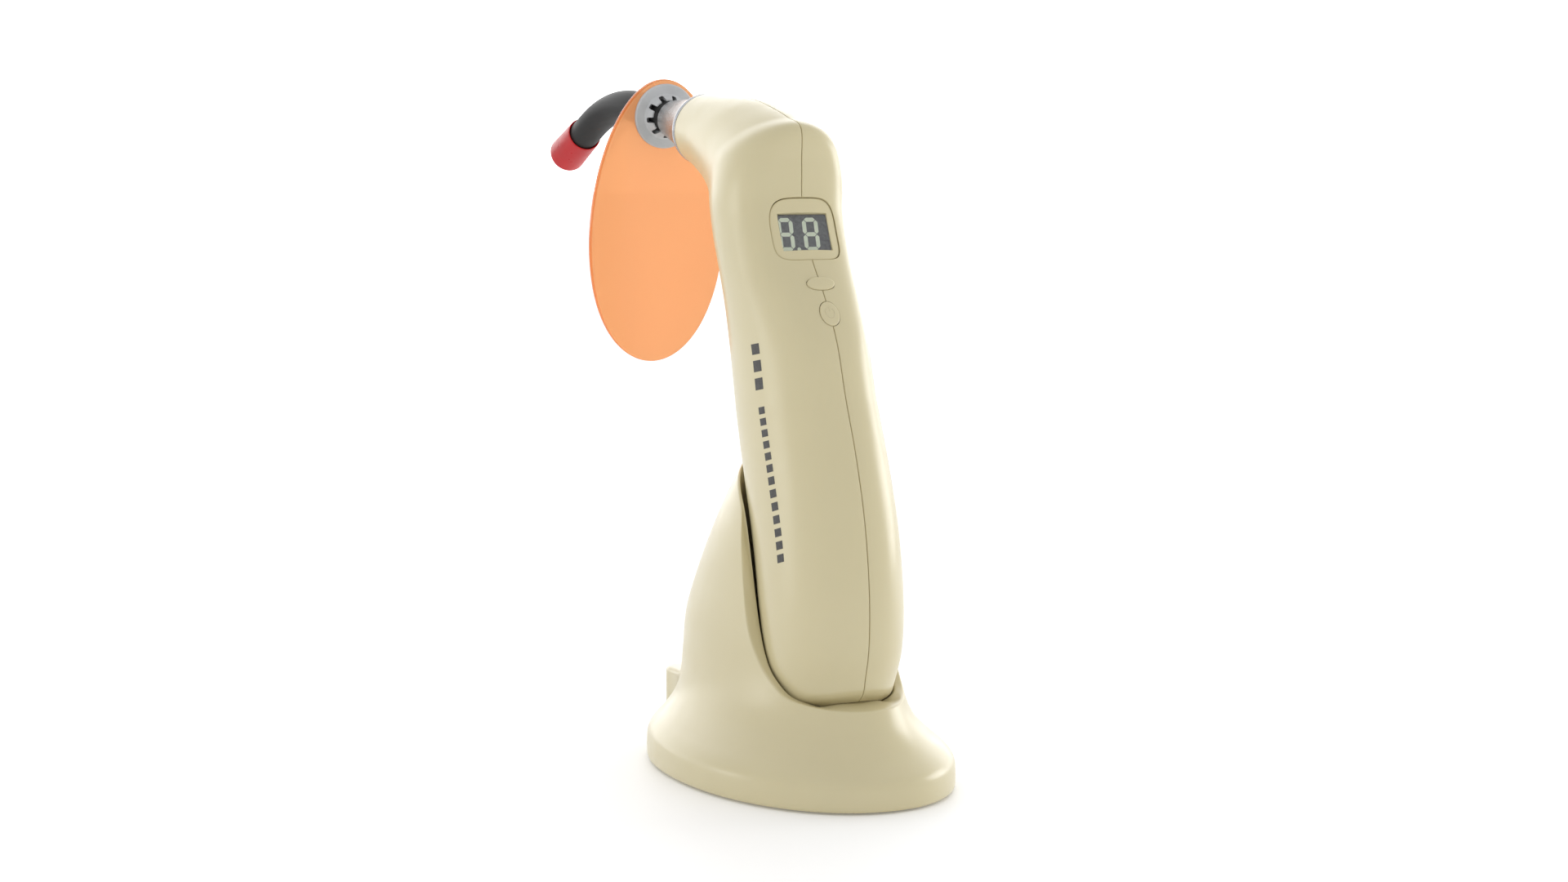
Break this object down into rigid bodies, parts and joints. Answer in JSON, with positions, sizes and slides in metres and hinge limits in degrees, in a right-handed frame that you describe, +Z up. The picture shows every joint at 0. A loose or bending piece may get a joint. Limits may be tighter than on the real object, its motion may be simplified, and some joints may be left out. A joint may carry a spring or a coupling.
{
  "type": "curing light",
  "caption": "Cordless pistol-shaped dental curing light with a curved light guide and an orange eye shield, standing in an oval charging base.",
  "frame": {"origin": "centre of the oval footprint, on the surface that the rubber ring stands on", "axes": "+Z up; +Y along the light guide, away from the display; X across, with X = 0 the symmetry plane"},
  "size_m": [0.0822, 0.2613, 0.2117],
  "materials": {
    "casing_plastic": "warm ivory moulded plastic, satin gloss",
    "base_plastic": "warm ivory moulded plastic, satin gloss",
    "bezel_plastic": "ivory moulded plastic, smooth gloss",
    "window_clear": "clear polished acrylic",
    "lcd_glass": "dark negative LCD with pale segments",
    "key_plastic": "ivory moulded plastic, smooth gloss",
    "board_green": "green solder mask on glass-fibre board",
    "black_plastic": "black moulded plastic",
    "tray_plastic": "dark grey moulded plastic",
    "cell_wrap": "blue shrink sleeve on a metal can",
    "contact_gold": "gold plate, bright",
    "sink_aluminium": "machined aluminium",
    "led_ceramic": "white ceramic emitter board",
    "lens_glass": "polished clear optic",
    "socket_plastic": "dark moulded plastic",
    "ring_chrome": "polished chrome",
    "spring_steel": "spring wire, bright",
    "ferrule_metal": "turned and polished steel",
    "sheath_dark": "dark brown-grey jacket, satin gloss",
    "core_glass": "fused glass fibre, polished ends",
    "cap_red": "soft translucent red plastic",
    "shield_orange": "clear orange acrylic, polished",
    "hub_grey": "grey moulded plastic",
    "screw_steel": "zinc-plated steel",
    "plate_plastic": "ivory moulded plastic, matt",
    "weight_iron": "bare cast iron",
    "foot_rubber": "black soft rubber, matt"
  },
  "bodies": {
    "base": {"base_cover": "base_plastic", "base_plate": "plate_plastic", "base_weight": "weight_iron", "foot_ring": "foot_rubber", "base_screws": "screw_steel", "charger_board": "board_green", "contact_board": "board_green", "pin_barrels": "contact_gold", "dc_jack": "black_plastic"},
    "handpiece": {"left_shell": "casing_plastic", "right_shell": "casing_plastic", "shell_screws": "screw_steel", "display_bezel": "bezel_plastic", "display_window": "window_clear", "lcd_panel": "lcd_glass", "key_board": "board_green", "tact_switches": "black_plastic", "main_board": "board_green", "buzzer": "black_plastic", "battery_cell": "cell_wrap", "battery_tray": "tray_plastic", "battery_contacts": "contact_gold", "led_heat_sink": "sink_aluminium", "led_module": "led_ceramic", "collimating_lens": "lens_glass", "nozzle_socket": "socket_plastic", "nozzle_ring": "ring_chrome", "charge_pads": "contact_gold"},
    "mode_key": {"mode_button": "key_plastic"},
    "power_key": {"power_button": "key_plastic"},
    "retaining_ring": {"guide_retaining_ring": "spring_steel"},
    "guide": {"guide_ferrule": "ferrule_metal", "guide_sheath": "sheath_dark", "fibre_core": "core_glass"},
    "shield": {"shield_plate": "shield_orange", "shield_hub": "hub_grey"},
    "cap": {"tip_cap": "cap_red"},
    "left_pin": {"left_charge_pin": "contact_gold"},
    "right_pin": {"right_charge_pin": "contact_gold"}
  },
  "joints": [
    {"name": "handpiece_lift", "type": "slide", "parent": "base", "child": "handpiece", "axis": [0, 0.3007, 0.9537], "range_m": [0, 0.12]},
    {"name": "mode_press", "type": "slide", "parent": "handpiece", "child": "mode_key", "axis": [0, 0.8181, -0.575], "range_m": [0, 0.0004], "stiffness_N_per_m": 2000, "springref_m": -0.0001},
    {"name": "power_press", "type": "slide", "parent": "handpiece", "child": "power_key", "axis": [0, 0.8181, -0.575], "range_m": [0, 0.0004], "stiffness_N_per_m": 2000, "springref_m": -0.0001},
    {"name": "guide_swivel", "type": "hinge", "parent": "handpiece", "child": "retaining_ring", "pos_m": [0, 0.068, 0.1947], "axis": [0, 0.991, 0.134], "continuous": true},
    {"name": "guide_pull", "type": "slide", "parent": "retaining_ring", "child": "guide", "axis": [0, 0.991, 0.134], "range_m": [0, 0.03]},
    {"name": "shield_swivel", "type": "hinge", "parent": "guide", "child": "shield", "pos_m": [0, 0.068, 0.1947], "axis": [0, 0.991, 0.134], "continuous": true},
    {"name": "cap_pull", "type": "slide", "parent": "guide", "child": "cap", "axis": [0, 0.9252, -0.3795], "range_m": [0, 0.02]},
    {"name": "left_pin_press", "type": "slide", "parent": "base", "child": "left_pin", "axis": [0, 0.3007, 0.9537], "range_m": [-0.0008, 0], "stiffness_N_per_m": 150, "springref_m": 0.0008},
    {"name": "right_pin_press", "type": "slide", "parent": "base", "child": "right_pin", "axis": [0, 0.3007, 0.9537], "range_m": [-0.0008, 0], "stiffness_N_per_m": 150, "springref_m": 0.0008}
  ]
}
